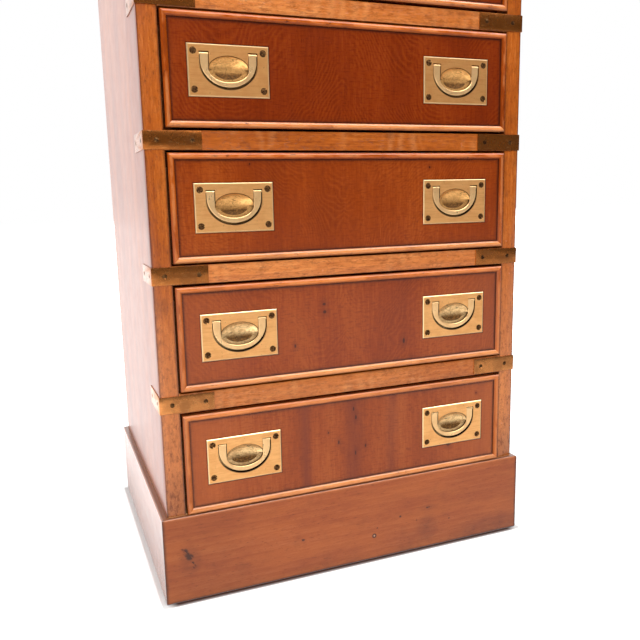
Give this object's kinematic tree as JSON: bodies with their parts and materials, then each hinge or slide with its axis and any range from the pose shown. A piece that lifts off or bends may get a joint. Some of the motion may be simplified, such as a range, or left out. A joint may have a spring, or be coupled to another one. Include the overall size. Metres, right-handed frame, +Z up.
{
  "type": "campaign chest of drawers",
  "caption": "Tall narrow chest of flush sliding drawers with recessed folding brass handles, brass straps around its rails and a square plinth.",
  "frame": {"origin": "middle of the footprint, on the floor under the plinth", "axes": "+Z up, +X to the chest's right as seen from the front, +Y from the drawer fronts to the back; drawers slide out along -Y"},
  "size_m": [0.495, 0.3754, 0.9875],
  "materials": {
    "panel_wood": "polished, red-brown figured veneer",
    "bead_wood": "polished, orange-brown",
    "stile_wood": "polished, upright grain",
    "rail_wood": "polished, level grain",
    "side_wood": "polished, upright grain",
    "top_wood": "polished, level grain",
    "plinth_wood": "polished, level grain with small knots",
    "inner_wood": "bare pale softwood",
    "back_wood": "bare, aged softwood",
    "drawer_wood": "bare pale hardwood",
    "plate_brass": "satin, slightly tarnished",
    "bail_brass": "satin, polished by handling",
    "strap_brass": "darkened, edges rubbed bright",
    "screw_brass": "dark antiqued"
  },
  "bodies": {
    "carcase": {"left_side": "side_wood", "right_side": "side_wood", "left_stile": "stile_wood", "right_stile": "stile_wood", "top_board": "top_wood", "bottom_board": "inner_wood", "back_panel": "back_wood", "drawer_rails": "rail_wood", "drawer_runners": "inner_wood", "drawer_guides": "inner_wood", "plinth_front": "plinth_wood", "plinth_left": "plinth_wood", "plinth_right": "plinth_wood", "plinth_back": "inner_wood", "plinth_blocks": "inner_wood", "brass_straps": "strap_brass", "brass_corners": "strap_brass", "strap_screws": "screw_brass"},
    "drawer_1": {"drawer_1_front": "panel_wood", "drawer_1_beading": "bead_wood", "drawer_1_box": "drawer_wood", "drawer_1_handle_plates": "plate_brass", "drawer_1_plate_screws": "screw_brass"},
    "drawer_1_left_bail": {"drawer_1_left_bail": "bail_brass"},
    "drawer_1_right_bail": {"drawer_1_right_bail": "bail_brass"},
    "drawer_2": {"drawer_2_front": "panel_wood", "drawer_2_beading": "bead_wood", "drawer_2_box": "drawer_wood", "drawer_2_handle_plates": "plate_brass", "drawer_2_plate_screws": "screw_brass"},
    "drawer_2_left_bail": {"drawer_2_left_bail": "bail_brass"},
    "drawer_2_right_bail": {"drawer_2_right_bail": "bail_brass"},
    "drawer_3": {"drawer_3_front": "panel_wood", "drawer_3_beading": "bead_wood", "drawer_3_box": "drawer_wood", "drawer_3_handle_plates": "plate_brass", "drawer_3_plate_screws": "screw_brass"},
    "drawer_3_left_bail": {"drawer_3_left_bail": "bail_brass"},
    "drawer_3_right_bail": {"drawer_3_right_bail": "bail_brass"},
    "drawer_4": {"drawer_4_front": "panel_wood", "drawer_4_beading": "bead_wood", "drawer_4_box": "drawer_wood", "drawer_4_handle_plates": "plate_brass", "drawer_4_plate_screws": "screw_brass"},
    "drawer_4_left_bail": {"drawer_4_left_bail": "bail_brass"},
    "drawer_4_right_bail": {"drawer_4_right_bail": "bail_brass"},
    "drawer_5": {"drawer_5_front": "panel_wood", "drawer_5_beading": "bead_wood", "drawer_5_box": "drawer_wood", "drawer_5_handle_plates": "plate_brass", "drawer_5_plate_screws": "screw_brass"},
    "drawer_5_left_bail": {"drawer_5_left_bail": "bail_brass"},
    "drawer_5_right_bail": {"drawer_5_right_bail": "bail_brass"},
    "drawer_6": {"drawer_6_front": "panel_wood", "drawer_6_beading": "bead_wood", "drawer_6_box": "drawer_wood", "drawer_6_handle_plates": "plate_brass", "drawer_6_plate_screws": "screw_brass"},
    "drawer_6_left_bail": {"drawer_6_left_bail": "bail_brass"},
    "drawer_6_right_bail": {"drawer_6_right_bail": "bail_brass"}
  },
  "joints": [
    {"name": "drawer_1_slide", "type": "slide", "parent": "carcase", "child": "drawer_1", "axis": [0, -1, 0], "range_m": [0, 0.26]},
    {"name": "drawer_1_left_bail_hinge", "type": "hinge", "parent": "drawer_1", "child": "drawer_1_left_bail", "pos_m": [-0.144, -0.18225, 0.91935], "axis": [-1, 0, 0], "range_deg": [0, 95]},
    {"name": "drawer_1_right_bail_hinge", "type": "hinge", "parent": "drawer_1", "child": "drawer_1_right_bail", "pos_m": [0.144, -0.18225, 0.91935], "axis": [-1, 0, 0], "range_deg": [0, 95]},
    {"name": "drawer_2_slide", "type": "slide", "parent": "carcase", "child": "drawer_2", "axis": [0, -1, 0], "range_m": [0, 0.26]},
    {"name": "drawer_2_left_bail_hinge", "type": "hinge", "parent": "drawer_2", "child": "drawer_2_left_bail", "pos_m": [-0.144, -0.18225, 0.77285], "axis": [-1, 0, 0], "range_deg": [0, 95]},
    {"name": "drawer_2_right_bail_hinge", "type": "hinge", "parent": "drawer_2", "child": "drawer_2_right_bail", "pos_m": [0.144, -0.18225, 0.77285], "axis": [-1, 0, 0], "range_deg": [0, 95]},
    {"name": "drawer_3_slide", "type": "slide", "parent": "carcase", "child": "drawer_3", "axis": [0, -1, 0], "range_m": [0, 0.26]},
    {"name": "drawer_3_left_bail_hinge", "type": "hinge", "parent": "drawer_3", "child": "drawer_3_left_bail", "pos_m": [-0.144, -0.18225, 0.62635], "axis": [-1, 0, 0], "range_deg": [0, 95]},
    {"name": "drawer_3_right_bail_hinge", "type": "hinge", "parent": "drawer_3", "child": "drawer_3_right_bail", "pos_m": [0.144, -0.18225, 0.62635], "axis": [-1, 0, 0], "range_deg": [0, 95]},
    {"name": "drawer_4_slide", "type": "slide", "parent": "carcase", "child": "drawer_4", "axis": [0, -1, 0], "range_m": [0, 0.26]},
    {"name": "drawer_4_left_bail_hinge", "type": "hinge", "parent": "drawer_4", "child": "drawer_4_left_bail", "pos_m": [-0.144, -0.18225, 0.47985], "axis": [-1, 0, 0], "range_deg": [0, 95]},
    {"name": "drawer_4_right_bail_hinge", "type": "hinge", "parent": "drawer_4", "child": "drawer_4_right_bail", "pos_m": [0.144, -0.18225, 0.47985], "axis": [-1, 0, 0], "range_deg": [0, 95]},
    {"name": "drawer_5_slide", "type": "slide", "parent": "carcase", "child": "drawer_5", "axis": [0, -1, 0], "range_m": [0, 0.26]},
    {"name": "drawer_5_left_bail_hinge", "type": "hinge", "parent": "drawer_5", "child": "drawer_5_left_bail", "pos_m": [-0.144, -0.18225, 0.33335], "axis": [-1, 0, 0], "range_deg": [0, 95]},
    {"name": "drawer_5_right_bail_hinge", "type": "hinge", "parent": "drawer_5", "child": "drawer_5_right_bail", "pos_m": [0.144, -0.18225, 0.33335], "axis": [-1, 0, 0], "range_deg": [0, 95]},
    {"name": "drawer_6_slide", "type": "slide", "parent": "carcase", "child": "drawer_6", "axis": [0, -1, 0], "range_m": [0, 0.26]},
    {"name": "drawer_6_left_bail_hinge", "type": "hinge", "parent": "drawer_6", "child": "drawer_6_left_bail", "pos_m": [-0.144, -0.18225, 0.18495], "axis": [-1, 0, 0], "range_deg": [0, 95]},
    {"name": "drawer_6_right_bail_hinge", "type": "hinge", "parent": "drawer_6", "child": "drawer_6_right_bail", "pos_m": [0.144, -0.18225, 0.18495], "axis": [-1, 0, 0], "range_deg": [0, 95]}
  ]
}
